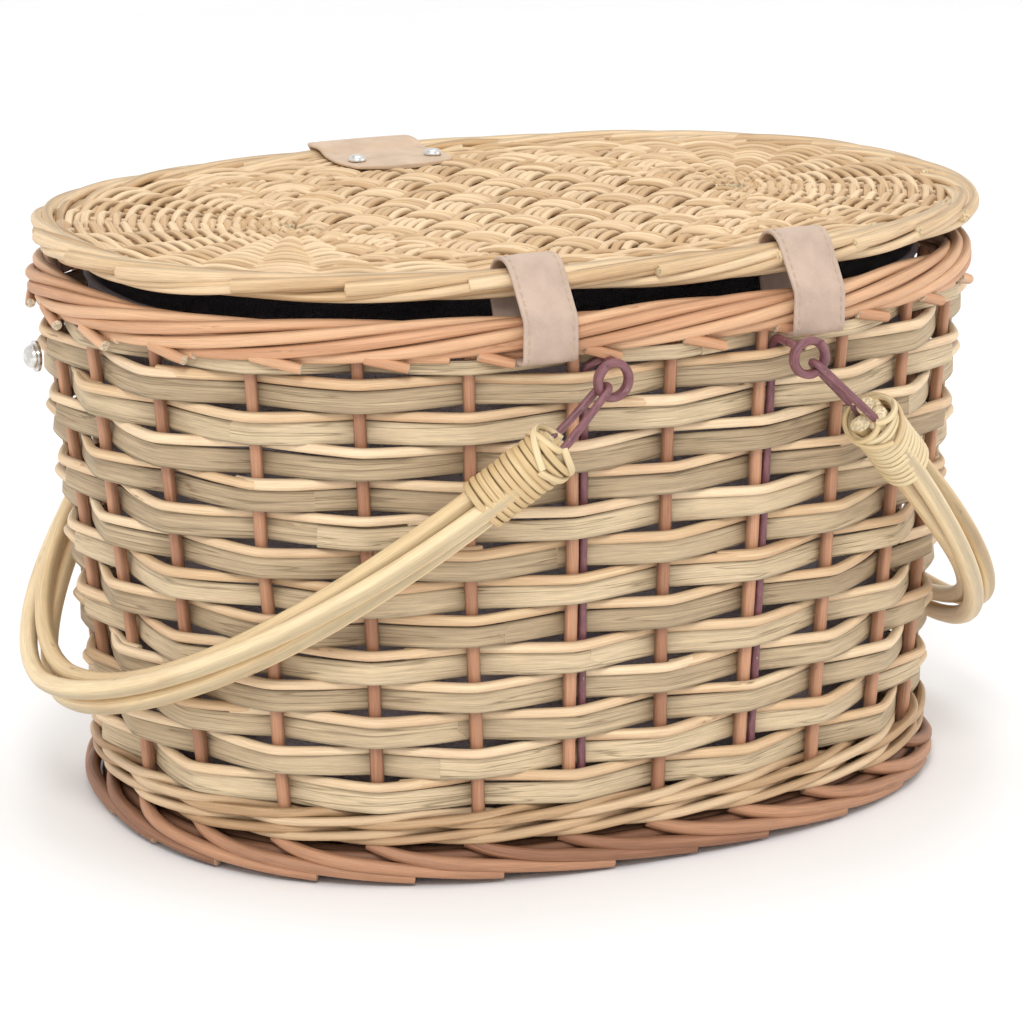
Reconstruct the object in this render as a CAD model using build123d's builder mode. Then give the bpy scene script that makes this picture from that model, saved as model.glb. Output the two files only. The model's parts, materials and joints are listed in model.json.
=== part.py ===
from build123d import *
import math
import os

os.makedirs("parts", exist_ok=True)

# Oval wicker picnic basket with a hinged lid and two swing handles. Millimetres, +Z up.
# +X is the long axis, -Y the hinge side, +Y the closure side. The origin is on the ground,
# under the middle of the basket.

# ---------------------------------------------------------------- driving dimensions
# Plan shape: every oval is the curve |x/a|^n + |y/b|^n = 1.
OVAL_POWER = 2.37
OVAL_POINTS = 44

# Side stakes: their centre line leans out from the base to the rim.
STAKES = 26
STAKE_R = 2.8
LEAN_LOW_Z, LEAN_LOW_A, LEAN_LOW_B = 20.0, 187.5, 142.5
LEAN_TOP_Z, LEAN_TOP_A, LEAN_TOP_B = 231.0, 208.0, 152.0
# The two ends of the hand-woven body lean this far towards -X between those heights.
LEAN_ASIDE = 3.5

# Foot border, base and waling
FOOT_HEIGHT = 16.8
FOOT_A, FOOT_B, FOOT_WIDTH = 198.5, 155.5, 16.0
WALE_Z = 17.4
WALE_HEIGHT = 6.6
WALE_PITCH = 7.0
WALE_IN, WALE_OUT = 7.4, 8.2
BASE_A, BASE_B = 178.5, 134.0
BASE_STICK_R = 1.6
BASE_Z = 20.4
BASE_THICK = 3.2

# Side weave: each row is a flat split strip with a round weaver above it
ROWS = 14
ROW_Z = 31.5
ROW_PITCH = 14.85
STRIP_HEIGHT = 9.6
STRIP_THICK = 1.8
STRIP_SWING = 4.6
WEAVER_THICK = 4.4
WEAVER_HEIGHT = 4.4
WEAVER_SWING = 5.4
TOP_STRIP_HEIGHT = 4.4

# Rolled rim border
RIM_Z, RIM_TOP = 231.5, 248.0
RIM_A, RIM_B, RIM_WIDTH = 216.5, 161.5, 16.0
RIM_ASIDE = -4.0
RIM_ROUND = 5.0

# Insulated liner, an open oval cup
LINER_Z, LINER_TOP, LINER_WALL = 24.0, 242.0, 3.0
LINER_LOW_A, LINER_LOW_B = 176.0, 131.0
LINER_TOP_A, LINER_TOP_B = 191.5, 134.5
LINER_ASIDE = -3.0

# Lid
LID_AXIS_Y, LID_AXIS_Z = -140.0, 260.5
LID_ROLL_R = 6.5
LID_A, LID_B = 209.5, 143.5
LID_WEAVE_Z, LID_WEAVE_TOP = 260.6, 265.0
LID_STICK_R = 1.8
LID_STICK_Z = 258.6
LID_STICKS = 9
LINING_Z, LINING_THICK = 254.2, 2.4
LINING_A, LINING_B = 190.0, 124.0
SLOT_REACH = 13.4

# Leather hinge straps, closed loops round both borders
STRAP_XS = {"left": -61.2, "right": 66.0}
STRAP_WIDTH = 25.0
LEATHER = 1.8
STRAP_RUN_R = 9.6
STRAP_CORNER_R = 0.4
STRAP_IN_Y, STRAP_OUT_Y = -139.2, -160.2

# Handles: centre line |r/reach|^n + |y/width|^n = 1 in a plane through the pivot
HANDLE_POWER = 1.8
HANDLE_REACH, HANDLE_HALF = 240.0, 182.0
HANDLES = {
    "left": {"side": -1, "pivot_x": -38.0, "hang": 39.9},
    "right": {"side": 1, "pivot_x": 55.0, "hang": 45.5},
}
HANDLE_TURNS = (12.0, 31.5, 51.0, 70.5, 90.0, 109.5, 129.0, 148.5, 168.0)
ROD_R = 4.4
ROD_SPREAD = 5.65
PIVOT_Z = 223.0
RING_Y, RING_R, WIRE_R, SHANK_R = 172.5, 7.5, 1.8, 1.65
LOOP_R = 4.3
LOOP_END_R, LOOP_END_Y = 32.0, 178.0
BINDING_R, BINDING_BORE, BINDING_LENGTH, BINDING_LEAD = 11.8, 10.4, 45.0, 9.0
WIRE_BESIDE = 5.5
WIRE_FOOT_Z = 34.0
WIRE_BEND = 4.0
SHANK_ANGLES = {"hinge": 45.0, "closure": -38.0}

# Closure at the far side
TAB_WIDTH = 52.0
TAB_X = -9.0
FLAP_WIDTH = 36.0
CREASE_Y, CREASE_Z = 154.2, 269.0
FLAP_OUT, FLAP_DROP, FLAP_LENGTH = 9.2, 17.0, 81.0
FLAP_SWING = 5.5
BUTTON_Z = 205.0
BUTTON_PLATE_Y = 158.9
BUTTON_PLATE_THICK = 2.0
WING_Y, WING_THICK, WING_LENGTH, WING_HEIGHT = 164.9, 2.2, 20.0, 6.5
POST_R = 2.6
EYELET_WIDTH, EYELET_HEIGHT = 24.0, 12.0
EYELET_FRAME = 3.0
RIVET_XS = (TAB_X - 19.5, TAB_X + 19.5)
RIVET_Y = 108.0
RIVET_HEAD_R, RIVET_HEAD = 4.2, 2.6

# Domed studs that anchor the liner at both ends
STUD_Y, STUD_Z, STUD_R, STUD_OUT = 42.0, 206.0, 5.5, 4.6
WASHER_R, WASHER_THICK = 7.0, 1.2


# ---------------------------------------------------------------- shared helpers
def lean(z):
    """Half-lengths of the stake line at height z."""
    share = (z - LEAN_LOW_Z) / (LEAN_TOP_Z - LEAN_LOW_Z)
    a = LEAN_LOW_A + (LEAN_TOP_A - LEAN_LOW_A) * share
    b = LEAN_LOW_B + (LEAN_TOP_B - LEAN_LOW_B) * share
    return a, b


def oval_steps(a, b, count, start=0.0):
    """Points and outward normals at equal steps round an oval, from the middle of the -Y side."""
    fine = 2400
    track = []
    for i in range(fine + 1):
        angle = 2 * math.pi * i / fine - math.pi / 2
        cosine, sine = math.cos(angle), math.sin(angle)
        x = a * math.copysign(abs(cosine) ** (2 / OVAL_POWER), cosine)
        y = b * math.copysign(abs(sine) ** (2 / OVAL_POWER), sine)
        track.append((x, y))
    travelled = [0.0]
    for before, after in zip(track, track[1:]):
        travelled.append(travelled[-1] + math.dist(before, after))
    steps = []
    at = 0
    for i in range(count):
        target = travelled[-1] * ((i + start) % count) / count
        if target < travelled[at]:
            at = 0
        while travelled[at + 1] < target:
            at += 1
        share = (target - travelled[at]) / (travelled[at + 1] - travelled[at])
        x = track[at][0] + share * (track[at + 1][0] - track[at][0])
        y = track[at][1] + share * (track[at + 1][1] - track[at][1])
        nx = math.copysign(abs(x / a) ** (OVAL_POWER - 1) / a, x)
        ny = math.copysign(abs(y / b) ** (OVAL_POWER - 1) / b, y)
        size = math.hypot(nx, ny)
        steps.append((x, y, nx / size, ny / size))
    return steps


def push_ends(x, a, aside):
    """x, moved by aside at both ends of an oval of half-length a and not at all in the middle."""
    return x + aside * (x / a) ** 2


def lean_aside(z):
    """How far the ends of the body have moved along X at height z."""
    return -LEAN_ASIDE * (z - LEAN_LOW_Z) / (LEAN_TOP_Z - LEAN_LOW_Z)


def lean_steps(z, count):
    """Points and normals at equal steps round the stake line at height z."""
    a, b = lean(z)
    aside = lean_aside(z)
    return [(push_ends(x, a, aside), y, nx, ny) for x, y, nx, ny in oval_steps(a, b, count)]


def oval(a, b, aside=0.0):
    """Outline points of an oval whose ends are moved along X by aside."""
    return [(push_ends(x, a, aside), y) for x, y, nx, ny in oval_steps(a, b, OVAL_POINTS)]


def lean_y(z, x):
    """Half-width of the stake line at height z and place x."""
    a, b = lean(z)
    before = push_ends(x, a, -lean_aside(z))
    return b * (1 - abs(before / a) ** OVAL_POWER) ** (1 / OVAL_POWER)


def ring_sketch(z, outer, inner):
    """Flat sketch between two closed outlines at height z."""
    with BuildSketch(Plane.XY.offset(z)) as ring:
        with BuildLine():
            Spline(*outer, periodic=True)
        make_face()
        with BuildLine():
            Spline(*inner, periodic=True)
        make_face(mode=Mode.SUBTRACT)
    return ring.sketch


def oval_sketch(z, a, b, aside=0.0):
    """Flat oval sketch at height z."""
    with BuildSketch(Plane.XY.offset(z)) as face:
        with BuildLine():
            Spline(*oval(a, b, aside), periodic=True)
        make_face()
    return face.sketch


def save(piece, label):
    """Label a finished piece and write it."""
    piece.label = label
    export_step(piece, f"parts/{label}.step")


def stake_ends(index):
    """Foot and head of the centre line of one stake."""
    low = lean_steps(WALE_Z, STAKES)[index]
    high = lean_steps(RIM_Z, STAKES)[index]
    return (low[0], low[1], WALE_Z), (high[0], high[1], RIM_Z - 0.2)


# ---------------------------------------------------------------- base, stakes and waling
with BuildPart() as foot_border:
    inner_oval = oval(FOOT_A - FOOT_WIDTH, FOOT_B - FOOT_WIDTH)
    add(ring_sketch(0, oval(FOOT_A, FOOT_B), inner_oval))
    extrude(amount=FOOT_HEIGHT)
    fillet(foot_border.faces().sort_by(Axis.Z)[-1].edges(), radius=5)
save(foot_border.part, "foot_border")

with BuildPart() as base_weave:
    add(oval_sketch(BASE_Z, BASE_A, BASE_B))
    extrude(amount=BASE_THICK)
save(base_weave.part, "base_weave")

with BuildPart() as base_sticks:
    for stick in range(-3, 4):
        y = stick * BASE_B / 4
        reach = BASE_A * (1 - abs(y / BASE_B) ** OVAL_POWER) ** (1 / OVAL_POWER) - 4
        with BuildSketch(Plane(origin=(-reach, y, BASE_Z - BASE_STICK_R - 0.1), z_dir=(1, 0, 0))):
            Circle(BASE_STICK_R)
        extrude(amount=2 * reach)
save(base_sticks.part, "base_sticks")

with BuildPart() as side_stakes:
    for index in range(STAKES):
        low, high = stake_ends(index)
        with BuildSketch(Plane(origin=low, z_dir=Vector(*high) - Vector(*low))):
            Circle(STAKE_R)
        extrude(amount=math.dist(low, high))
save(side_stakes.part, "side_stakes")

for level in range(2):
    wale_low = WALE_Z + level * WALE_PITCH
    wale_mid = wale_low + WALE_HEIGHT / 2
    line_a, line_b = lean(wale_mid)
    aside = lean_aside(wale_mid)
    with BuildPart() as lower_wale:
        outer_oval = oval(line_a + WALE_OUT, line_b + WALE_OUT, aside)
        add(ring_sketch(wale_low, outer_oval, oval(line_a - WALE_IN, line_b - WALE_IN, aside)))
        extrude(amount=WALE_HEIGHT)
        for index in range(STAKES):
            x, y, nx, ny = lean_steps(wale_mid, STAKES)[index]
            with BuildSketch(Plane.XY.offset(wale_low)):
                with Locations((x, y)):
                    Circle(STAKE_R + 0.5)
            extrude(amount=WALE_HEIGHT, mode=Mode.SUBTRACT)
    save(lower_wale.part, f"lower_wale_{level + 1}")


# ---------------------------------------------------------------- side weave
def wave_outlines(row, z, swing, thick):
    """Outer and inner outline of a band that passes in front of one stake and behind the next."""
    outer, inner = [], []
    for i, (x, y, nx, ny) in enumerate(lean_steps(z, 2 * STAKES)):
        centre = -swing * math.cos(math.pi * (i / 2 + row))
        outer.append((x + nx * (centre + thick / 2), y + ny * (centre + thick / 2)))
        inner.append((x + nx * (centre - thick / 2), y + ny * (centre - thick / 2)))
    return outer, inner


for row in range(ROWS):
    height = STRIP_HEIGHT if row < ROWS - 1 else TOP_STRIP_HEIGHT
    strip_low = ROW_Z + row * ROW_PITCH + 0.2
    with BuildPart() as flat_strip:
        outlines = wave_outlines(row, strip_low + height / 2, STRIP_SWING, STRIP_THICK)
        add(ring_sketch(strip_low, *outlines))
        extrude(amount=height)
    save(flat_strip.part, f"flat_strip_{row + 1:02d}")

with BuildPart() as round_weavers:
    for row in range(ROWS - 1):
        weaver_low = ROW_Z + row * ROW_PITCH + STRIP_HEIGHT + 0.4
        outlines = wave_outlines(row, weaver_low + WEAVER_HEIGHT / 2, WEAVER_SWING, WEAVER_THICK)
        add(ring_sketch(weaver_low, *outlines))
        extrude(amount=WEAVER_HEIGHT)
save(round_weavers.part, "round_weavers")

with BuildPart() as rim_border:
    inner_oval = oval(RIM_A - RIM_WIDTH, RIM_B - RIM_WIDTH, RIM_ASIDE)
    add(ring_sketch(RIM_Z, oval(RIM_A, RIM_B, RIM_ASIDE), inner_oval))
    extrude(amount=RIM_TOP - RIM_Z)
    fillet(rim_border.edges(), radius=RIM_ROUND)
save(rim_border.part, "rim_border")


# ---------------------------------------------------------------- liner
with BuildPart() as cooler_liner:
    add(oval_sketch(LINER_Z, LINER_LOW_A, LINER_LOW_B))
    add(oval_sketch(LINER_TOP, LINER_TOP_A, LINER_TOP_B, LINER_ASIDE))
    loft()
    add(oval_sketch(LINER_Z + LINER_WALL, LINER_LOW_A - LINER_WALL, LINER_LOW_B - LINER_WALL))
    add(oval_sketch(LINER_TOP, LINER_TOP_A - LINER_WALL, LINER_TOP_B - LINER_WALL, LINER_ASIDE))
    loft(mode=Mode.SUBTRACT)
save(cooler_liner.part, "cooler_liner")

for name, end in (("left", -1), ("right", 1)):
    line_a, line_b = lean(STUD_Z)
    face_x = line_a * (1 - (STUD_Y / line_b) ** OVAL_POWER) ** (1 / OVAL_POWER)
    face_x += WEAVER_SWING + WEAVER_THICK / 2 + 0.4
    stud_plane = Plane(origin=(end * face_x + lean_aside(STUD_Z), STUD_Y, STUD_Z), z_dir=(end, 0, 0))
    with BuildPart() as liner_stud:
        with BuildSketch(stud_plane):
            Circle(WASHER_R)
        extrude(amount=WASHER_THICK)
        with BuildSketch(stud_plane.offset(WASHER_THICK)):
            Circle(STUD_R)
        extrude(amount=STUD_OUT)
        fillet(liner_stud.faces().sort_by(Axis.X)[-1 if end > 0 else 0].edges(), radius=STUD_OUT - 0.4)
    save(liner_stud.part, f"liner_stud_{name}")

# ---------------------------------------------------------------- lid
with BuildPart() as lid_border:
    outer_oval = oval(LID_A + LID_ROLL_R, LID_B + LID_ROLL_R)
    inner_oval = oval(LID_A - LID_ROLL_R, LID_B - LID_ROLL_R)
    add(ring_sketch(LID_AXIS_Z - LID_ROLL_R, outer_oval, inner_oval))
    extrude(amount=2 * LID_ROLL_R)
    fillet(lid_border.edges(), radius=LID_ROLL_R - 0.9)
save(lid_border.part, "lid_border")

with BuildPart() as lid_weave:
    with BuildSketch(Plane.XY.offset(LID_WEAVE_Z)):
        with BuildLine():
            Spline(*oval(LID_A - LID_ROLL_R - 0.3, LID_B - LID_ROLL_R - 0.3), periodic=True)
        make_face()
        slot_depth = 2 * SLOT_REACH
        with Locations(*[(x, LID_AXIS_Y) for x in STRAP_XS.values()]):
            Rectangle(STRAP_WIDTH + 4, slot_depth, mode=Mode.SUBTRACT)
    extrude(amount=LID_WEAVE_TOP - LID_WEAVE_Z)
save(lid_weave.part, "lid_weave")

with BuildPart() as lid_sticks:
    for stick in range(LID_STICKS):
        y = (stick - (LID_STICKS - 1) / 2) * 2 * LINING_B / (LID_STICKS + 1)
        room_a, room_b = LID_A - LID_ROLL_R - 3, LID_B - LID_ROLL_R - 3
        reach = room_a * (1 - abs(y / room_b) ** OVAL_POWER) ** (1 / OVAL_POWER)
        with BuildSketch(Plane(origin=(-reach, y, LID_STICK_Z), z_dir=(1, 0, 0))):
            Circle(LID_STICK_R)
        extrude(amount=2 * reach)
save(lid_sticks.part, "lid_sticks")

with BuildPart() as lid_lining:
    add(oval_sketch(LINING_Z, LINING_A, LINING_B))
    extrude(amount=LINING_THICK)
save(lid_lining.part, "lid_lining")


# ---------------------------------------------------------------- hinge straps
def belt(x, radius_grow):
    """Taut belt outline round the lid border and the rim border, on the strap's side face."""
    centres = [(STRAP_OUT_Y, RIM_Z), (STRAP_OUT_Y, RIM_TOP), (STRAP_IN_Y, RIM_TOP), (STRAP_IN_Y, RIM_Z)]
    with BuildSketch(Plane.YZ.offset(x - STRAP_WIDTH / 2)) as outline:
        with BuildLine():
            CenterArc((LID_AXIS_Y, LID_AXIS_Z), STRAP_RUN_R + radius_grow, 0, 360)
            for centre in centres:
                CenterArc(centre, STRAP_CORNER_R + radius_grow, 0, 360)
        make_hull()
    return outline.sketch


for name, x in STRAP_XS.items():
    loop_section = belt(x, LEATHER) - belt(x, 0)
    with BuildPart() as hinge_strap:
        extrude(loop_section, amount=STRAP_WIDTH)
    save(hinge_strap.part, f"hinge_strap_{name}")


# ---------------------------------------------------------------- handles
def handle_point(turn, grow=0.0):
    """(r, y) of the handle's centre line at one turn angle, grown outwards by grow."""
    sine, cosine = math.sin(math.radians(turn)), math.cos(math.radians(turn))
    r = (HANDLE_REACH + grow) * sine ** (2 / HANDLE_POWER)
    y = (HANDLE_HALF + grow) * math.copysign(abs(cosine) ** (2 / HANDLE_POWER), cosine)
    return r, y


def corner_radii(points):
    """Fillet radius at each inner corner of a path, as large as its two runs allow."""
    radii = []
    for before, corner, after in zip(points, points[1:], points[2:]):
        run_in, run_out = math.dist(before, corner), math.dist(corner, after)
        heading_in = math.atan2(corner[1] - before[1], corner[0] - before[0])
        heading_out = math.atan2(after[1] - corner[1], after[0] - corner[0])
        turn = abs((heading_out - heading_in + math.pi) % (2 * math.pi) - math.pi)
        radii.append(0.45 * min(run_in, run_out) / math.tan(turn / 2))
    return radii


def handle_plane(handle):
    """Plane of a hanging handle: x runs out from the pivot, y is +Y or -Y."""
    hang = math.radians(handle["hang"])
    out = (handle["side"] * math.cos(hang), 0, -math.sin(hang))
    across = Vector(*out).cross(Vector(0, 1, 0))
    return Plane(origin=(handle["pivot_x"], 0, PIVOT_Z), x_dir=out, z_dir=across)


for name, handle in HANDLES.items():
    plane = handle_plane(handle)
    for rod in range(3):
        angle = math.radians(90 + 120 * rod)
        grow, rise = ROD_SPREAD * math.cos(angle), ROD_SPREAD * math.sin(angle)
        rod_plane = plane.offset(rise)
        points = [handle_point(turn, grow) for turn in HANDLE_TURNS]
        heading = Vector(points[1][0] - points[0][0], points[1][1] - points[0][1])
        start = rod_plane.from_local_coords(Vector(*points[0]))
        aim = rod_plane.from_local_coords(Vector(*points[1])) - start
        with BuildPart() as handle_rod:
            with BuildLine(rod_plane) as rod_path:
                FilletPolyline(*points, radius=corner_radii(points))
            with BuildSketch(Plane(origin=start, z_dir=aim)):
                Circle(ROD_R)
            sweep(path=rod_path.wires()[0])
        save(handle_rod.part, f"{name}_handle_rod_{rod + 1}")

    for side_name, side in (("hinge", -1), ("closure", 1)):
        first, second = handle_point(HANDLE_TURNS[0]), handle_point(HANDLE_TURNS[1])
        run = Vector(second[0] - first[0], side * (second[1] - first[1])).normalized()
        mouth = Vector(first[0], side * first[1]) - run * BINDING_LEAD
        mouth_3d = plane.from_local_coords(mouth)
        aim = plane.from_local_coords(mouth + run) - mouth_3d
        with BuildPart() as handle_binding:
            with BuildSketch(Plane(origin=mouth_3d, z_dir=aim)):
                Circle(BINDING_R)
                Circle(BINDING_BORE, mode=Mode.SUBTRACT)
            extrude(amount=BINDING_LENGTH)
        save(handle_binding.part, f"{name}_handle_binding_{side_name}")

        near = Vector(RING_R, side * RING_Y)
        far = Vector(LOOP_END_R, side * LOOP_END_Y)
        turn_axis = plane.z_dir * -1
        with BuildPart() as handle_loop:
            for start, end in ((near, far), (far, near)):
                heading = (end - start).normalized()
                beside = Vector(-heading.Y, heading.X) * LOOP_R
                arm_start = plane.from_local_coords(start + beside)
                arm_end = plane.from_local_coords(end + beside)
                with BuildSketch(Plane(origin=arm_start, z_dir=arm_end - arm_start)):
                    Circle(WIRE_R)
                extrude(amount=math.dist(start, end))
                with BuildSketch(Plane(origin=arm_end, z_dir=arm_end - arm_start)):
                    Circle(WIRE_R)
                revolve(axis=Axis(plane.from_local_coords(end), turn_axis), revolution_arc=180)
        save(handle_loop.part, f"{name}_handle_loop_{side_name}")

        # The ring eye on the wall and the wire that runs down beside a stake. Its shank leaves the
        # ring where the bands of that row pass inside the stake, so it differs from side to side.
        outward = handle["side"]
        shank = math.radians(SHANK_ANGLES[side_name])
        shank_x = handle["pivot_x"] - outward * RING_R * math.cos(shank)
        shank_z = PIVOT_Z + RING_R * math.sin(shank)
        top_x = lean_steps(shank_z, STAKES)[outward][0] + WIRE_BESIDE
        foot_x = lean_steps(WIRE_FOOT_Z, STAKES)[outward][0] + WIRE_BESIDE
        top_y = side * lean_y(shank_z, top_x)
        foot_y = side * lean_y(WIRE_FOOT_Z, foot_x)
        route = [(shank_x, side * RING_Y, shank_z), (shank_x, top_y, shank_z)]
        radii = [WIRE_BEND]
        sidestep = abs(top_x - shank_x)
        if sidestep > 1:
            route.append((top_x, top_y, shank_z))
            radii = [0.45 * sidestep, 0.45 * sidestep]
        route.append((foot_x, foot_y, WIRE_FOOT_Z))
        with BuildPart() as wall_wire:
            with Locations(Location((handle["pivot_x"], side * RING_Y, PIVOT_Z), (90, 0, 0))):
                Torus(RING_R, WIRE_R)
            with BuildLine() as wire_path:
                FilletPolyline(*route, radius=radii)
            with BuildSketch(Plane(origin=route[0], z_dir=Vector(*route[1]) - Vector(*route[0]))):
                Circle(SHANK_R)
            sweep(path=wire_path.wires()[0])
        save(wall_wire.part, f"{name}_wall_wire_{side_name}")

# ---------------------------------------------------------------- closure
with BuildPart() as closure_tab:
    with BuildSketch(Plane.YZ.offset(TAB_X - TAB_WIDTH / 2)):
        with BuildLine():
            Polyline((96, 266.4), (132, 266.4), (138, CREASE_Z), (CREASE_Y - 1.2, CREASE_Z))
        trace(line_width=LEATHER)
    extrude(amount=TAB_WIDTH)
    for x in RIVET_XS:
        with BuildSketch(Plane.XY.offset(LID_WEAVE_TOP)):
            with Locations((x, RIVET_Y)):
                Circle(2.2)
        extrude(amount=5, mode=Mode.SUBTRACT)
save(closure_tab.part, "closure_tab")

with BuildPart() as tab_rivets:
    for x in RIVET_XS:
        rivet_low = LID_WEAVE_TOP + 0.1
        with BuildSketch(Plane.XY.offset(rivet_low)):
            with Locations((x, RIVET_Y)):
                Circle(2.0)
        extrude(amount=2.6)
        with BuildSketch(Plane.XY.offset(rivet_low + 2.6)):
            with Locations((x, RIVET_Y)):
                Circle(RIVET_HEAD_R)
        extrude(amount=RIVET_HEAD)
    fillet(tab_rivets.faces().group_by(Axis.Z)[-1].edges(), radius=RIVET_HEAD - 0.3)
save(tab_rivets.part, "tab_rivets")

swing = math.radians(FLAP_SWING)
flap_plane = Plane(
    origin=(TAB_X, CREASE_Y, CREASE_Z), x_dir=(0, math.cos(swing), math.sin(swing)), z_dir=(1, 0, 0)
)
eyelet_drop = BUTTON_Z - CREASE_Z


def flap_block(x_size, thick, height):
    """Side view of a block across the flap at the button's height, across the middle of the tab."""
    with BuildSketch(flap_plane.offset(-x_size / 2)) as side_view:
        with Locations((FLAP_OUT, eyelet_drop)):
            Rectangle(thick, height)
    return side_view.sketch


eyelet_outer = (EYELET_WIDTH + 2 * EYELET_FRAME, EYELET_HEIGHT + 2 * EYELET_FRAME)

with BuildPart() as closure_flap:
    with BuildSketch(flap_plane.offset(-FLAP_WIDTH / 2)):
        with BuildLine():
            Polyline((0.9, -0.6), (FLAP_OUT, -FLAP_DROP), (FLAP_OUT, -FLAP_LENGTH))
        trace(line_width=LEATHER)
    extrude(amount=FLAP_WIDTH)
    eyelet_hole = flap_block(eyelet_outer[0], 2 * LEATHER, eyelet_outer[1])
    extrude(eyelet_hole, amount=eyelet_outer[0], mode=Mode.SUBTRACT)
save(closure_flap.part, "closure_flap")

with BuildPart() as eyelet_plate:
    plate_width = eyelet_outer[0] - 0.4
    extrude(flap_block(plate_width, LEATHER + 0.4, eyelet_outer[1] - 0.4), amount=plate_width)
    slot = flap_block(EYELET_WIDTH, 2 * LEATHER, EYELET_HEIGHT)
    extrude(slot, amount=EYELET_WIDTH, mode=Mode.SUBTRACT)
save(eyelet_plate.part, "eyelet_plate")

with BuildPart() as button_base:
    base_plane = Plane(origin=(TAB_X, BUTTON_PLATE_Y, BUTTON_Z), z_dir=(0, 1, 0))
    with BuildSketch(base_plane):
        SlotOverall(24, 16)
        Circle(POST_R + 0.1, mode=Mode.SUBTRACT)
    extrude(amount=BUTTON_PLATE_THICK)
save(button_base.part, "button_base")

with BuildPart() as turn_button:
    with BuildSketch(base_plane):
        Circle(POST_R)
    extrude(amount=WING_Y - BUTTON_PLATE_Y + 0.5)
    with BuildSketch(base_plane.offset(WING_Y - BUTTON_PLATE_Y)):
        SlotOverall(WING_LENGTH, WING_HEIGHT)
    extrude(amount=WING_THICK)
save(turn_button.part, "turn_button")
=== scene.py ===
import json
import math

import bmesh
import bpy
import numpy as np
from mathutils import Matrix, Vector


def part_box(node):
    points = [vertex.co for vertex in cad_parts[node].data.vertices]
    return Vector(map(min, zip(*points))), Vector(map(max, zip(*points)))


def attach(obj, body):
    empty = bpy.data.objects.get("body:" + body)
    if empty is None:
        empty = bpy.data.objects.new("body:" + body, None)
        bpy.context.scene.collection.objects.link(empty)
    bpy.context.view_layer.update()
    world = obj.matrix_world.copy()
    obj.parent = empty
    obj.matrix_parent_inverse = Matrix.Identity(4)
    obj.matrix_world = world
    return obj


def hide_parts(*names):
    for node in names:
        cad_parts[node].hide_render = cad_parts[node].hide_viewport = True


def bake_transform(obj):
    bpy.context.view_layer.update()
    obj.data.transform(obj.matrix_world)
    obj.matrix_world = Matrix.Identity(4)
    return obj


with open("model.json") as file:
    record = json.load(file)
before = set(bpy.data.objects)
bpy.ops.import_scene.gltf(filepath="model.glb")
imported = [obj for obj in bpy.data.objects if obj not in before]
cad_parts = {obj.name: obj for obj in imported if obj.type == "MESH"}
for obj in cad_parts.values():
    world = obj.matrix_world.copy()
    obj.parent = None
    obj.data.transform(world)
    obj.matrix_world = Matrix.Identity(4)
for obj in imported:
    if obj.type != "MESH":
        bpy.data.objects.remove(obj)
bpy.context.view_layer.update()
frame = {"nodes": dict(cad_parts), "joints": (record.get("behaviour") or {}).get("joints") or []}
rng = np.random.default_rng(11)
scene = bpy.context.scene

# Lengths here are in millimetres until a mesh is built. Angles are in radians unless said.
POWER = 2.37
STAKES = 26
ROWS, ROW_Z, ROW_PITCH = 14, 31.5, 14.85
UP = np.array([0, 0, 1.0])
TAU = 2 * math.pi


def node_box(name):
    low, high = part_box(name)
    return np.array(low) * 1000, np.array(high) * 1000


def joint_place(name):
    joint = next(j for j in frame["joints"] if j["name"] == name)
    return np.array(joint["pos_m"]) * 1000


# ---------------------------------------------------------------- ovals
def oval_xy(a, b, angle):
    c, s = np.cos(angle), np.sin(angle)
    x = a * np.sign(c) * np.abs(c) ** (2 / POWER)
    y = b * np.sign(s) * np.abs(s) ** (2 / POWER)
    nx = np.sign(c) * np.abs(x / a) ** (POWER - 1) / a
    ny = np.sign(s) * np.abs(y / b) ** (POWER - 1) / b
    size = np.hypot(nx, ny)
    return x, y, nx / size, ny / size


FINE = np.linspace(0, TAU, 4801) - math.pi / 2


def even_angle(a, b):
    """Angle of the point at each share of the way round, from the middle of the hinge side."""
    x, y, _, _ = oval_xy(a, b, FINE)
    travelled = np.concatenate([[0], np.cumsum(np.hypot(np.diff(x), np.diff(y)))])
    return travelled / travelled[-1]


LOW_A, LOW_B, TOP_A, TOP_B = 187.5, 142.5, 208.0, 152.0
LOW_Z, WALL_TALL = 20.0, 211.0
LEAN_ASIDE, RIM_ASIDE, LINER_ASIDE = 3.5, -4.0, -3.0
LOW_SHARE, TOP_SHARE = even_angle(LOW_A, LOW_B), even_angle(TOP_A, TOP_B)


def on_oval(a, b, share, z, off=0.0, table=None, aside=0.0):
    """Points and outward normals at a share of the way round an oval, moved out by off."""
    share = np.asarray(share, float)
    table = TOP_SHARE if table is None else table
    whole = np.floor(share)
    angle = np.interp(share - whole, table, FINE)
    x, y, nx, ny = oval_xy(a, b, angle)
    points = np.stack([x + aside * (x / a) ** 2 + nx * off, y + ny * off, z + 0 * x], 1)
    return points, np.stack([nx, ny, 0 * nx], 1)


def wall(u, z, off=0.0):
    """Points on the stake line at height z, u stakes round from the middle of the hinge side."""
    u, z = np.broadcast_arrays(np.asarray(u, float), np.asarray(z, float))
    share = (z - LOW_Z) / WALL_TALL
    a, b = LOW_A + (TOP_A - LOW_A) * share, LOW_B + (TOP_B - LOW_B) * share
    turn = u / STAKES
    part = turn - np.floor(turn)
    low, high = np.interp(part, LOW_SHARE, FINE), np.interp(part, TOP_SHARE, FINE)
    x, y, nx, ny = oval_xy(a, b, low + (high - low) * share)
    x = x - LEAN_ASIDE * share * (x / a) ** 2
    return np.stack([x + nx * off, y + ny * off, z], 1), np.stack([nx, ny, 0 * nx], 1)


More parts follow.
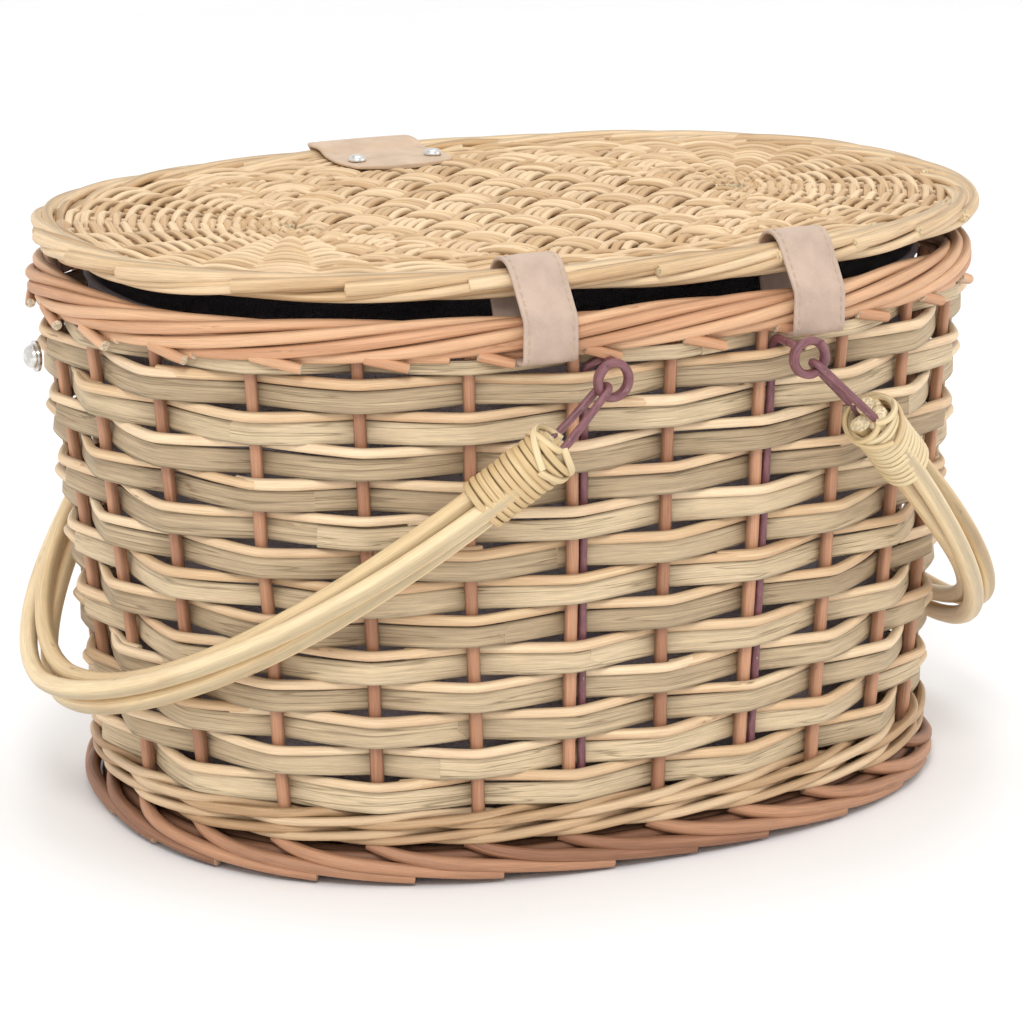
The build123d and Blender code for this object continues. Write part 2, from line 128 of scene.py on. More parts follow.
def wander(n, amount, knots=6):
    """A smooth random line of n values."""
    knots = max(3, int(knots))
    values = rng.normal(0, amount, knots + 3)
    t = np.linspace(0, knots - 0.001, n)
    i = t.astype(int)
    f = t - i
    p0, p1 = values[i], values[i + 1]
    p2, p3 = values[np.minimum(i + 2, knots + 2)], values[np.minimum(i + 3, knots + 2)]
    square, cube = 2 * p0 - 5 * p1 + 4 * p2 - p3, 3 * p1 - p0 - 3 * p2 + p3
    return 0.5 * (2 * p1 + (p2 - p0) * f + square * f**2 + cube * f**3)


def tone(n, amount, knots):
    """A tint along one rod: a tone of its own that drifts a little."""
    return np.clip(rng.random() + wander(n, amount, knots), 0, 1)


def distances(points):
    """How far along a line each of its points lies."""
    return np.concatenate([[0], np.cumsum(np.linalg.norm(np.diff(points, axis=0), axis=1))])


def relax(points, rounds):
    """Round a line's corners, with its ends kept."""
    for _ in range(rounds):
        points[1:-1] = 0.5 * points[1:-1] + 0.25 * (points[2:] + points[:-2])


def through(at, places, values):
    """A smooth curve through the given values, for a line that is given point by point."""
    places, values = np.asarray(places, float), np.asarray(values, float)
    slope = np.gradient(values, places)
    i = np.clip(np.searchsorted(places, at, side="right") - 1, 0, len(places) - 2)
    h = places[i + 1] - places[i]
    f = np.clip((at - places[i]) / h, 0, 1)
    return (
        (1 + 2 * f) * (1 - f) ** 2 * values[i]
        + f * (1 - f) ** 2 * h * slope[i]
        + f**2 * (3 - 2 * f) * values[i + 1]
        + f**2 * (f - 1) * h * slope[i + 1]
    )


# ---------------------------------------------------------------- strands
def round_section(sides=10):
    t = np.arange(sides) * TAU / sides
    return np.stack([np.cos(t), np.sin(t)], 1)


STRIP_SECTION = np.array(
    [(1, -0.45), (1, 0.45), (0.975, 0.82), (0.91, 0.98), (0.5, 1.06), (0, 1.1), (-0.5, 1.06), (-0.91, 0.98),
     (-0.975, 0.82), (-1, 0.45), (-1, -0.45), (-0.96, -0.9), (-0.9, -1), (0.9, -1), (0.96, -0.9)]
)
CANE_SECTION = np.array(
    [(1, -0.3), (0.97, 0.3), (0.78, 0.72), (0.42, 0.95), (0, 1.02), (-0.42, 0.95), (-0.78, 0.72),
     (-0.97, 0.3), (-1, -0.3), (-0.85, -0.85), (0, -1), (0.85, -0.85)]
)
LEATHER_SECTION = np.array(
    [(1, -0.35), (1, 0.35), (0.985, 0.8), (0.955, 1.0), (0.86, 1.03), (0.82, 0.86), (0.78, 1.05), (0.5, 1.15),
     (0, 1.2), (-0.5, 1.15), (-0.78, 1.05), (-0.82, 0.86), (-0.86, 1.03), (-0.955, 1.0), (-0.985, 0.8),
     (-1, 0.35), (-1, -0.35), (-0.985, -0.8), (-0.95, -1), (-0.5, -1), (0, -1), (0.5, -1),
     (0.95, -1), (0.985, -0.8)]
)


class Strands:
    """Many rods, strips or wires in one mesh. Each keeps its grain direction, seed and tint."""

    def __init__(self):
        self.points, self.quads, self.tris = [], [], []
        self.grain, self.seed, self.tint, self.cut, self.edge = [], [], [], [], []
        self.count = 0

    def add(self, line, out, half_p, half_q=None, section=None, tint=None, seed=None):
        line, out = np.asarray(line, float), np.asarray(out, float)
        section = round_section() if section is None else section
        half_q = half_p if half_q is None else half_q
        n, m = len(line), len(section)
        out = np.broadcast_to(out, line.shape)
        half_p, half_q = np.broadcast_to(half_p, n), np.broadcast_to(half_q, n)
        tangent = np.gradient(line, axis=0)
        tangent /= np.linalg.norm(tangent, axis=1)[:, None] + 1e-9
        side = np.cross(tangent, out)
        side /= np.linalg.norm(side, axis=1)[:, None] + 1e-9
        up = np.cross(side, tangent)
        p, q = section[None, :, 0] * half_p[:, None], section[None, :, 1] * half_q[:, None]
        ring = line[:, None] + side[:, None] * p[..., None] + up[:, None] * q[..., None]
        along = distances(line)
        grain = np.stack([along[:, None] + 0 * p, p, q], 2)
        i, j = np.meshgrid(np.arange(n - 1), np.arange(m), indexing="ij")
        k = (j + 1) % m
        quads = np.stack([i * m + j, (i + 1) * m + j, (i + 1) * m + k, i * m + k], 2).reshape(-1, 4)
        base = self.count
        self.points += [ring.reshape(-1, 3)]
        self.grain += [grain.reshape(-1, 3)]
        self.quads += [quads + base]
        base += n * m
        ordered = np.arange(m)
        for end, flip in ((0, False), (n - 1, True)):
            bulge = tangent[end] * (0.25 if flip else -0.25) * min(half_p[end], half_q[end])
            self.points += [ring[end], (line[end] + bulge)[None]]
            self.grain += [grain[end], np.array([[along[end], 0, 0]])]
            first, second = (ordered + 1) % m, ordered
            if not flip:
                first, second = second, first
            self.tris += [np.stack([np.full(m, m), first, second], 1) + base]
            base += m + 1
        added = base - self.count
        cut = np.zeros(added)
        cut[n * m:] = 1
        self.cut += [cut]
        # edge: how far to the side of the section each point lies; the willow material uses it to paint shade
        # on the sides
        self.edge += [np.concatenate([np.tile(np.abs(section[:, 0]), n), np.zeros(added - n * m)])]
        self.seed += [np.full(added, rng.random() if seed is None else seed)]
        tint = rng.random() if tint is None else tint
        tints = np.repeat(np.broadcast_to(tint, n), m)
        self.tint += [np.concatenate([tints, np.full(added - n * m, np.mean(tint))])]
        self.count = base

    def build(self, name, material, body, slot, *nodes):
        mesh = bpy.data.meshes.new(name)
        co = np.concatenate(self.points) * 0.001
        quads, tris = np.concatenate(self.quads), np.concatenate(self.tris)
        loops = np.concatenate([quads.ravel(), tris.ravel()])
        starts = np.concatenate([np.arange(len(quads)) * 4, len(quads) * 4 + np.arange(len(tris)) * 3])
        mesh.vertices.add(len(co))
        mesh.vertices.foreach_set("co", co.ravel())
        mesh.loops.add(len(loops))
        mesh.loops.foreach_set("vertex_index", loops.astype(np.int32))
        mesh.polygons.add(len(starts))
        mesh.polygons.foreach_set("loop_start", starts.astype(np.int32))
        mesh.update(calc_edges=True)
        mesh.shade_smooth()
        store(mesh, "grain", np.concatenate(self.grain) * 0.001)
        for key in ("seed", "tint", "cut", "edge"):
            store(mesh, key, np.concatenate(getattr(self, key)))
        return place(mesh, name, material, body, nodes)


def store(mesh, name, values):
    kind = "FLOAT_VECTOR" if values.ndim == 2 else "FLOAT"
    attribute = mesh.attributes.new(name, kind, "POINT")
    attribute.data.foreach_set("vector" if values.ndim == 2 else "value", values.astype(np.float32).ravel())


def tube_mesh(name, rings, grain, flip=False):
    """A closed mesh through a loop of rings that have the same number of points."""
    count, around = len(rings), len(rings[0])
    i, j = np.meshgrid(np.arange(count), np.arange(around), indexing="ij")
    here, ahead, beside = i * around, (i + 1) % count * around, (j + 1) % around
    quads = np.stack([here + j, here + beside, ahead + beside, ahead + j], 2).reshape(-1, 4)
    if flip:
        quads = quads[:, [1, 0, 3, 2]]
    mesh = bpy.data.meshes.new(name)
    mesh.from_pydata((np.concatenate(rings) * 0.001).tolist(), [], quads.tolist())
    mesh.shade_smooth()
    store(mesh, "grain", np.concatenate(grain) * 0.001)
    return mesh


def place(mesh, name, material, body, nodes=()):
    piece = bpy.data.objects.new(name, mesh)
    scene.collection.objects.link(piece)
    mesh.materials.append(material)
    if body:
        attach(piece, body)
    if nodes:
        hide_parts(*nodes)
    return piece


# ---------------------------------------------------------------- materials
def srgb(r, g, b):
    linear = []
    for value in (r, g, b):
        value /= 255
        linear.append(value / 12.92 if value <= 0.04045 else ((value + 0.055) / 1.055) ** 2.4)
    return (*linear, 1.0)


class Nodes:
    """Short helpers for a material's node tree."""

    def __init__(self, name):
        self.material = bpy.data.materials.new(name)
        self.material.use_nodes = True
        self.tree = self.material.node_tree
        self.shader = self.tree.nodes["Principled BSDF"]

    def link(self, source, target):
        self.tree.links.new(source, target)

    def node(self, kind, **settings):
        node = self.tree.nodes.new(kind)
        for key, value in settings.items():
            setattr(node, key, value)
        return node

    def attribute(self, name, output="Fac"):
        node = self.node("ShaderNodeAttribute", attribute_name=name)
        return node.outputs[output]

    def math(self, kind, a, b=0.0, c=0.0, clamp=False):
        node = self.node("ShaderNodeMath", operation=kind, use_clamp=clamp)
        for slot, value in zip(node.inputs, (a, b, c)):
            if isinstance(value, (int, float)):
                slot.default_value = value
            else:
                self.link(value, slot)
        return node.outputs[0]

    def times(self, a, b, clamp=False):
        return self.math("MULTIPLY", a, b, clamp=clamp)

    def stretch(self, vector, scale):
        node = self.node("ShaderNodeVectorMath", operation="MULTIPLY")
        self.link(vector, node.inputs[0])
        node.inputs[1].default_value = scale
        return node.outputs[0]

    def noise(self, vector, stretch, w=None, detail=3.0, rough=0.55):
        node = self.node("ShaderNodeTexNoise", noise_dimensions="4D" if w is not None else "3D")
        self.link(self.stretch(vector, stretch), node.inputs["Vector"])
        node.inputs["Scale"].default_value = 1.0
        node.inputs["Detail"].default_value = detail
        node.inputs["Roughness"].default_value = rough
        if w is not None:
            self.link(w, node.inputs["W"])
        return node.outputs["Fac"]

    def spread(self, value, low, high, to_low=0.0, to_high=1.0):
        node = self.node("ShaderNodeMapRange")
        self.link(value, node.inputs[0])
        for slot, number in zip(node.inputs[1:5], (low, high, to_low, to_high)):
            slot.default_value = number
        return node.outputs[0]

    def mix(self, factor, a, b, kind="MIX"):
        node = self.node("ShaderNodeMix", data_type="RGBA", blend_type=kind)
        if isinstance(factor, (int, float)):
            node.inputs[0].default_value = factor
        else:
            self.link(factor, node.inputs[0])
        for slot, value in ((node.inputs[6], a), (node.inputs[7], b)):
            if isinstance(value, tuple):
                slot.default_value = value
            else:
                self.link(value, slot)
        return node.outputs[2]

    def grey(self, value):
        node = self.node("ShaderNodeCombineColor")
        for slot in node.inputs:
            self.link(value, slot)
        return node.outputs[0]

    def surface(self, colour, rough):
        self.link(colour, self.shader.inputs["Base Color"])
        self.link(rough, self.shader.inputs["Roughness"])

    def bump(self, height, strength, distance):
        node = self.node("ShaderNodeBump")
        node.inputs["Strength"].default_value = strength
        node.inputs["Distance"].default_value = distance
        self.link(height, node.inputs["Height"])
        self.link(node.outputs[0], self.shader.inputs["Normal"])


def willow(name, light, dark, odd, cut=(235, 215, 175),
           fibre=0.22, spots=0.5, blotch=0.5, split=0.0, rough=0.52):
    """Peeled or steamed willow: long fibres, blotches, brown buds, a tone of its own for each rod and painted
    shade along the sides of each rod.
    """
    n = Nodes(name)
    grain = n.attribute("grain", "Vector")
    seed = n.times(n.attribute("seed"), 97.0)
    tint = n.attribute("tint")
    fibres = n.noise(grain, (70, 2600, 2600), seed, detail=4, rough=0.65)
    streak = n.noise(grain, (14, 620, 620), seed, detail=3)
    cloud = n.noise(grain, (16, 70, 70), seed, detail=4, rough=0.6)
    colour = n.mix(n.spread(tint, 0.15, 0.85), srgb(*light), srgb(*dark))
    colour = n.mix(n.spread(cloud, 0.5, 0.78, 0, blotch), colour, srgb(*odd))
    shade = n.spread(fibres, 0.3, 0.7, 1 - fibre, 1 + fibre * 0.45)
    colour = n.mix(1.0, colour, n.grey(shade), "MULTIPLY")
    pale = n.spread(streak, 0.52, 0.72, 0, 0.35)
    colour = n.mix(pale, colour, srgb(*[min(255, c * 1.13) for c in light]))
    buds = n.node("ShaderNodeTexVoronoi", voronoi_dimensions="4D", feature="F1")
    n.link(n.stretch(grain, (26, 210, 210)), buds.inputs["Vector"])
    n.link(seed, buds.inputs["W"])
    buds.inputs["Scale"].default_value = 1.0
    speck = n.noise(grain, (240, 900, 900), seed, detail=2)
    bud = n.times(n.spread(buds.outputs["Distance"], 0.0, 0.24, 1, 0), n.spread(speck, 0.42, 0.6))
    colour = n.mix(n.times(bud, spots * 1.4, clamp=True), colour, srgb(116, 76, 42))
    height = n.math("ADD", n.times(fibres, 0.5), n.times(streak, 0.9))
    height = n.math("ADD", height, n.times(cloud, 0.5))
    if split:
        crack_line = n.noise(grain, (9, 330, 330), seed, detail=2, rough=0.4)
        apart = n.math("ABSOLUTE", n.math("SUBTRACT", crack_line, 0.56))
        crack = n.math("SUBTRACT", 1.0, n.times(apart, 60.0), clamp=True)
        colour = n.mix(n.times(crack, split), colour, srgb(112, 92, 62))
        height = n.math("SUBTRACT", height, n.times(crack, 0.8))
    # Painted shade: the sides of each rod and strip, where it meets its neighbours, are darkened to stand in
    # for the shadow in the gaps between them.
    painted_shade = n.spread(n.attribute("edge"), 0.72, 1.0, 1.0, 0.62)
    colour = n.mix(1.0, colour, n.grey(painted_shade), "MULTIPLY")
    end = n.attribute("cut")
    rings = n.noise(grain, (900, 900, 900), seed, detail=3)
    colour = n.mix(end, colour, n.mix(n.spread(rings, 0.4, 0.65), srgb(*cut), srgb(*[c * 0.72 for c in cut])))
    n.surface(colour, n.spread(fibres, 0.25, 0.75, rough - 0.08, rough + 0.14))
    n.bump(height, 0.55, 0.0006)
    return n.material


def leather(name, colour, edge):
    """Smooth vegetable leather: fine pores, faint mottling and a paler tone mixed in by the tint attribute.
    """
    n = Nodes(name)
    grain = n.attribute("grain", "Vector")
    cloud = n.noise(grain, (60, 60, 60), detail=5, rough=0.6)
    pores = n.node("ShaderNodeTexVoronoi", feature="F1")
    n.link(n.stretch(grain, (1500, 1500, 1500)), pores.inputs["Vector"])
    pores.inputs["Scale"].default_value = 1.0
    crease = n.noise(grain, (700, 160, 160), detail=4, rough=0.7)
    base = n.mix(n.spread(cloud, 0.35, 0.7), srgb(*colour), srgb(*[c * 0.9 for c in colour]))
    depth = pores.outputs["Distance"]
    base = n.mix(n.spread(depth, 0.1, 0.5, 0.18, 0), base, srgb(*[c * 0.72 for c in colour]))
    base = n.mix(n.attribute("tint"), base, srgb(*edge))
    n.surface(base, n.spread(cloud, 0.3, 0.7, 0.42, 0.58))
    height = n.math("ADD", n.times(depth, 0.6), n.times(crease, 0.5))
    n.bump(height, 0.35, 0.0003)
    return n.material


def fabric(name, colour, speck, thread=900.0, specks=0.3, rough=0.85):
    """Plain woven cloth from crossed threads, with odd light slubs."""
    n = Nodes(name)
    grain = n.attribute("grain", "Vector")
    parts = n.node("ShaderNodeSeparateXYZ")
    n.link(grain, parts.inputs[0])
    warp = n.math("SINE", n.times(parts.outputs[0], thread * TAU))
    weft = n.math("SINE", n.times(parts.outputs[1], thread * TAU))
    cross = n.times(warp, weft)
    cloud = n.noise(grain, (22, 22, 22), detail=4)
    slub = n.noise(grain, (520, 520, 520), detail=2)
    base = n.mix(n.spread(cloud, 0.3, 0.7), srgb(*colour), srgb(*[c * 0.8 for c in colour]))
    base = n.mix(n.spread(cross, -1, 1, 0, 0.25), base, srgb(*[min(255, c * 1.35 + 8) for c in colour]))
    base = n.mix(n.spread(slub, 0.6, 0.68, 0, specks), base, srgb(*speck))
    n.surface(base, n.spread(cloud, 0.3, 0.7, rough - 0.08, rough + 0.06))
    n.bump(n.math("ADD", cross, n.times(slub, 1.5)), 0.4, 0.0003)
    return n.material


def coated_wire(name):
    """Iron wire dipped in purple-brown paint, thin at the rubbed spots."""
    n = Nodes(name)
    grain = n.attribute("grain", "Vector")
    lumps = n.noise(grain, (160, 500, 500), detail=4, rough=0.6)
    worn = n.noise(grain, (110, 330, 330), detail=5, rough=0.7)
    base = n.mix(n.spread(lumps, 0.35, 0.7), srgb(104, 62, 68), srgb(138, 92, 96))
    base = n.mix(n.spread(worn, 0.66, 0.72, 0, 0.8), base, srgb(206, 186, 172))
    n.surface(base, n.spread(lumps, 0.3, 0.7, 0.3, 0.5))
    n.bump(lumps, 0.4, 0.0006)
    return n.material


def chrome(name):
    """Polished plated steel with fine rubbing marks."""
    n = Nodes(name)
    place_on = n.node("ShaderNodeTexCoord").outputs["Object"]
    rub = n.noise(place_on, (3000, 420, 420), detail=4, rough=0.7)
    dull = n.noise(place_on, (300, 300, 300), detail=3)
    base = n.mix(n.spread(dull, 0.4, 0.7), srgb(222, 220, 216), srgb(186, 182, 176))
    n.link(base, n.shader.inputs["Base Color"])
    n.shader.inputs["Metallic"].default_value = 1.0
    n.link(n.spread(rub, 0.3, 0.7, 0.13, 0.3), n.shader.inputs["Roughness"])
    n.bump(rub, 0.08, 0.0002)
    return n.material


def plain_floor(name):
    n = Nodes(name)
    place_on = n.node("ShaderNodeTexCoord").outputs["Object"]
    cloud = n.noise(place_on, (2, 2, 2), detail=4)
    base = n.mix(n.spread(cloud, 0.3, 0.7), srgb(250, 250, 250), srgb(246, 246, 247))
    n.link(base, n.shader.inputs["Base Color"])
    n.shader.inputs["Roughness"].default_value = 0.9
    return n.material


STRIP_MAT = willow(
    "split_strip", (216, 193, 157), (178, 155, 123), (158, 132, 102),
    fibre=0.36, spots=0.35, split=0.6, rough=0.62,
)
WEAVER_MAT = willow(
    "buff_willow", (242, 214, 176), (220, 184, 142), (196, 142, 104),
    fibre=0.26, spots=1.0,
)
WALE_MAT = willow(
    "wale_willow", (222, 192, 154), (188, 152, 112), (162, 118, 82),
    fibre=0.28, spots=0.9,
)
STAKE_MAT = willow(
    "stake_willow", (200, 148, 114), (170, 120, 90), (144, 98, 72),
    fibre=0.32, spots=0.6,
)
RIM_MAT = willow(
    "rim_willow", (222, 176, 136), (202, 150, 112), (182, 128, 92),
    cut=(230, 210, 180), fibre=0.26, spots=0.6,
)
FOOT_MAT = willow(
    "foot_willow", (190, 140, 106), (150, 104, 76), (120, 80, 58),
    cut=(216, 180, 142), fibre=0.32, spots=0.5,
)
LID_MAT = willow(
    "lid_willow", (229, 200, 160), (198, 162, 118), (174, 128, 88),
    fibre=0.28, spots=0.8,
)
HANDLE_MAT = willow(
    "handle_willow", (238, 213, 170), (218, 186, 136), (192, 146, 96),
    fibre=0.22, spots=0.9, rough=0.42,
)
CANE_MAT = willow(
    "binding_cane", (230, 208, 164), (212, 182, 134), (194, 156, 108),
    fibre=0.24, spots=0.3, rough=0.4,
)
LEATHER_MAT = leather("leather", (194, 169, 151), (232, 216, 196))
TAB_MAT = leather("tab_leather", (204, 176, 148), (226, 204, 176))
THREAD_MAT = fabric("thread", (196, 172, 146), (226, 210, 186), thread=2400.0)
LINER_MAT = fabric("liner_fabric", (172, 162, 168), (200, 192, 198), thread=700.0)
LINING_MAT = fabric("lining_fabric", (30, 40, 27), (168, 176, 134), thread=600.0, specks=0.9)
WIRE_MAT = coated_wire("wire")
CHROME_MAT = chrome("chrome")


# ---------------------------------------------------------------- stakes and side weave
stakes = Strands()
for index in range(STAKES):
    z = np.linspace(15, 234, 60)
    line, out = wall(index + wander(60, 0.01, 5), z, wander(60, 0.15, 5))
    stakes.add(line, out, np.linspace(3.0, 2.65, 60) + wander(60, 0.05, 9), tint=rng.random())
stakes.build("stakes", STAKE_MAT, "basket", "stake_willow", "side_stakes")


def wave(u, row, sharp):
    """1 outside a stake and -1 inside it, nearly straight between stakes."""
    return -np.arcsin(sharp * np.cos(math.pi * (u + row))) / math.asin(sharp)


def lengths(total, mean, lap):
    """Start and end of each piece of a row that is woven from several lengths."""
    start = rng.uniform(0, total)
    count = max(1, round(total / mean))
    marks = start + np.concatenate([[0], np.cumsum(rng.uniform(0.8, 1.2, count))])
    marks = start + (marks - start) * total / (marks[-1] - start)
    return [(a, b + lap) for a, b in zip(marks, marks[1:])]


for row in range(ROWS):
    strips = Strands()
    low = ROW_Z + row * ROW_PITCH
    half = 4.85 if row < ROWS - 1 else 3.2
    for start, end in lengths(STAKES, 13, 1.4):
        n = int((end - start) * 20)
        u = np.linspace(start, end, n)
        tuck = np.clip((u - (end - 1.5)) / 0.8, 0, 1) * 1.9
        z = low + 0.15 + half + wander(n, 0.38, (end - start) / 1.5)
        line, out = wall(u, z, 4.5 * wave(u, row, 0.997) - tuck + wander(n, 0.12, 12))
        lean_out = wander(n, 0.05, (end - start) / 2)
        out = out + UP * (lean_out + 0.05)[:, None]
        strips.add(line, out, half + wander(n, 0.18, 14), 0.9 + wander(n, 0.05, 9), STRIP_SECTION,
                   tint=tone(n, 0.12, 6))
    strips.build(f"strip_row_{row + 1:02d}", STRIP_MAT, "basket", "split_strip", f"flat_strip_{row + 1:02d}")

weavers = Strands()
for row in range(ROWS - 1):
    low = ROW_Z + row * ROW_PITCH
    for start, end in lengths(STAKES, 7, 0.9):
        n = int((end - start) * 13)
        u = np.linspace(start, end, n)
        radius = np.linspace(2.55, 2.1, n) + wander(n, 0.07, 12)
        z = low + 12.2 + wander(n, 0.45, (end - start) / 1.2)
        tuck = np.clip((u - (end - 0.8)) / 0.5, 0, 1) * 2.4 + np.clip((start + 0.5 - u) / 0.5, 0, 1) * 1.6
        line, out = wall(u, z, 5.6 * wave(u, row, 0.985) - tuck)
        weavers.add(line, out, radius, tint=tone(n, 0.15, 6))
weavers.build("weavers", WEAVER_MAT, "basket", "buff_willow", "round_weavers")

WALE_AT = [-0.5, 0, 0.5, 1, 1.5, 2, 2.5, 3, 3.5]
for layer in range(2):
    wale = Strands()
    for strand in range(3):
        u = np.linspace(12.4 + strand, 39.2 + strand, 26 * 13)
        v = (u - strand + 0.5) % 3
        off = through(v, WALE_AT, [-4.9, 0.2, 5.0, 5.7, 5.1, 0.2, -4.9, 0.2, 5.0])
        rise = through(v, WALE_AT, [0.2, -1.9, -1.7, -0.2, 1.4, 2.0, 0.2, -1.9, -1.7])
        z = 20.9 + 7.1 * layer + rise + wander(len(u), 0.25, 14)
        line, out = wall(u, z, off)
        wale.add(line, out, 2.25 + wander(len(u), 0.12, 12), tint=tone(len(u), 0.3, 9))
    wale.build(f"waling_{layer + 1}", WALE_MAT, "basket", "buff_willow", f"lower_wale_{layer + 1}")

foot = Strands()
for index in range(STAKES):
    reach = 2.3 + rng.uniform(-0.12, 0.12)
    v = np.linspace(-0.12, reach, 46)
    off = through(v, [-0.12, 0.05, 0.4, 1.0, 1.6, 2.4], [1.4, 4.6, 8.8, 10.0, 9.8, 9.0])
    off = off + rng.uniform(-0.3, 0.3)
    z = through(v, [-0.12, 0.05, 0.5, 1.0, 1.6, 2.4], [16.8, 14.4, 11.2, 8.6, 6.0, 3.5])
    z = z + rng.uniform(-0.3, 0.3)
    line, out = wall(index + v, np.maximum(z, 3.2), off)
    foot.add(line, out, np.linspace(3.2, 2.9, 46) + wander(46, 0.07, 7), tint=rng.random())
for ring, (off, z, r) in enumerate([(2.2, 4.0, 3.4), (-3.6, 4.4, 3.4), (1.4, 9.8, 3.2), (-4.4, 10.4, 3.2)]):
    u = np.linspace(0, STAKES + 0.3, 320)
    line, out = wall(u + ring * 5.3, z + wander(320, 0.3, 16), off + wander(320, 0.3, 16))
    foot.add(line, out, r, tint=0.9)
foot.build("foot_rods", FOOT_MAT, "basket", "foot_willow", "foot_border")

base = Strands()
base_high = node_box("base_weave")[1]
for count, x in enumerate(np.arange(-170, 171, 5.0)):
    half_y = (base_high[1] - 1) * (1 - abs(x / (base_high[0] - 1)) ** POWER) ** (1 / POWER)
    y = np.linspace(-half_y, half_y, max(6, int(half_y / 2.4)))
    sway = 1.7 * np.cos(math.pi * (y / 33.5 + count))
    line = np.stack([x + wander(len(y), 0.25, 6), y, 21.6 + sway], 1)
    base.add(line, UP, 2.3, 1.5, round_section(8))
base.build("base_mat", WALE_MAT, "basket", "buff_willow", "base_weave")
sticks = Strands()
for stick in range(-3, 4):
    y = stick * 33.5
    half_x = (base_high[0] - 4) * (1 - abs(y / base_high[1]) ** POWER) ** (1 / POWER)
    x = np.linspace(-half_x, half_x, 60)
    line = np.stack([x, y + wander(60, 0.3, 6), 21.2 + 0 * x], 1)
    sticks.add(line, UP, 2.0)
sticks.build("base_rods", STAKE_MAT, "basket", "stake_willow", "base_sticks")

# ---------------------------------------------------------------- rolled rim
rim_low, rim_high = node_box("rim_border")
RIM_A, RIM_B = rim_high[0] - RIM_ASIDE - 8.6, rim_high[1] - 8.6
RIM_MID = (rim_low[2] + rim_high[2]) / 2
rim_share = even_angle(RIM_A, RIM_B)
SPAN = 7.0


def rope(strands, a, b, middle, table, count, span, wide, tall, radius, begin, tail,
         loose=0.05, aside=0.0, n=110):
    """Rods that each start under the border, wind once round it and end at its lower edge."""
    for index in range(count):
        length = span * rng.uniform(0.97, 1.05)
        v = np.linspace(0, length + tail, n)
        phase = begin + TAU * v / span + wander(n, loose, 4)
        swell = 1 + loose * wander(n, 1.0, 6) + 0.22 * np.clip((v - length) / max(tail, 0.01), 0, 1)
        swell = swell + 0.1 * np.clip((0.3 - v) / 0.3, 0, 1)
        share = (index + v + rng.uniform(-2, 2) * loose) / count
        centre, out = on_oval(a, b, share, middle + 0 * v, 0.0, table, aside)
        q, p = wide * np.cos(phase) * swell, tall * np.sin(phase) * swell
        line = centre + out * q[:, None] + UP * p[:, None]
        taper = np.linspace(radius * 1.06, radius * 0.9, n)
        strands.add(line, out, taper + wander(n, 0.07, 8), tint=tone(n, 0.1, 5))


rim = Strands()
rope(rim, RIM_A, RIM_B, RIM_MID, rim_share, STAKES, SPAN, 5.4, 6.3, 2.7, -1.75, 0.42, 0.07, RIM_ASIDE)
u = np.linspace(0, 1.004, 300)
line, out = on_oval(RIM_A, RIM_B, u, RIM_MID + 0 * u, 0.0, rim_share, RIM_ASIDE)
rim.add(line, out, 3.6, 4.6, tint=1.0)
for index in range(STAKES):
    v = np.linspace(0, 1, 12)
    reach = rng.uniform(0.3, 0.5)
    line, out = wall(index + 0.08 + v * reach, 233.5 - v * rng.uniform(3.6, 5.2), 4.6 + v * 2.6)
    rim.add(line, out, np.linspace(2.7, 2.35, 12), tint=rng.random())
rim.build("rim_rods", RIM_MAT, "basket", "rim_willow", "rim_border")

# ---------------------------------------------------------------- liner
liner_low, liner_high = node_box("cooler_liner")


def cup(name, a0, b0, a1, b1, z0, z1, thick, around=260):
    """A soft open cup: outer wall, rolled hem, inner wall and floor, with shallow puckers."""
    steps = []
    for share in np.linspace(0, 1, 22):
        steps.append((a0 + (a1 - a0) * share, b0 + (b1 - b0) * share, z0 + (z1 - z0) * share, 1.0))
    for angle in np.linspace(0.3, math.pi - 0.3, 6):
        grow = math.cos(angle) * 2.3 - thick / 2
        steps.append((a1 + grow, b1 + grow, z1 + math.sin(angle) * 1.8, 0.2))
    for share in np.linspace(1, 0, 22):
        inner_a, inner_b = a0 + (a1 - a0) * share - thick, b0 + (b1 - b0) * share - thick
        steps.append((inner_a, inner_b, z0 + thick + (z1 - z0 - thick) * share, 1.0))
    for share in (0.97, 0.9, 0.75, 0.5, 0.25, 0.02):
        steps.append(((a0 - thick) * share, (b0 - thick) * share, z0 + thick, 0.3))
    steps += [(a0 * 0.02, b0 * 0.02, z0, 0.0)]
    for share in (0.25, 0.5, 0.75, 0.97):
        steps.append((a0 * share, b0 * share, z0, 0.0))
    turn = np.linspace(0, 1, around, endpoint=False)
    rings, grain = [], []
    folds = (3, 5, 8, 13)
    pucker = sum(math.sqrt(1 / k) * 0.35 * np.sin(TAU * turn * k * 3 + rng.uniform(0, 6)) for k in folds)
    for number, (a, b, z, soft) in enumerate(steps):
        bend = np.sin(z / 37.0 + 2 * np.sin(TAU * turn * 4)) * 0.4
        aside = LINER_ASIDE * (z - z0) / (z1 - z0)
        line, out = on_oval(a, b, turn, z + 0 * turn, (pucker + bend) * soft - 0.6 * soft, None, aside)
        rings.append(line)
        grain.append(np.stack([turn * 1050, np.full(around, z + number * 0.01), 0 * turn], 1))
    return tube_mesh(name, rings, grain)


LINER_LOW_A, LINER_LOW_B, LINER_THICK = 176.0, 131.0, 3.0
liner_mesh = cup("liner", LINER_LOW_A, LINER_LOW_B, liner_high[0] - LINER_ASIDE, liner_high[1],
                 liner_low[2], liner_high[2] - 2, LINER_THICK)
liner = place(liner_mesh, "liner", LINER_MAT, "basket", ("cooler_liner",))

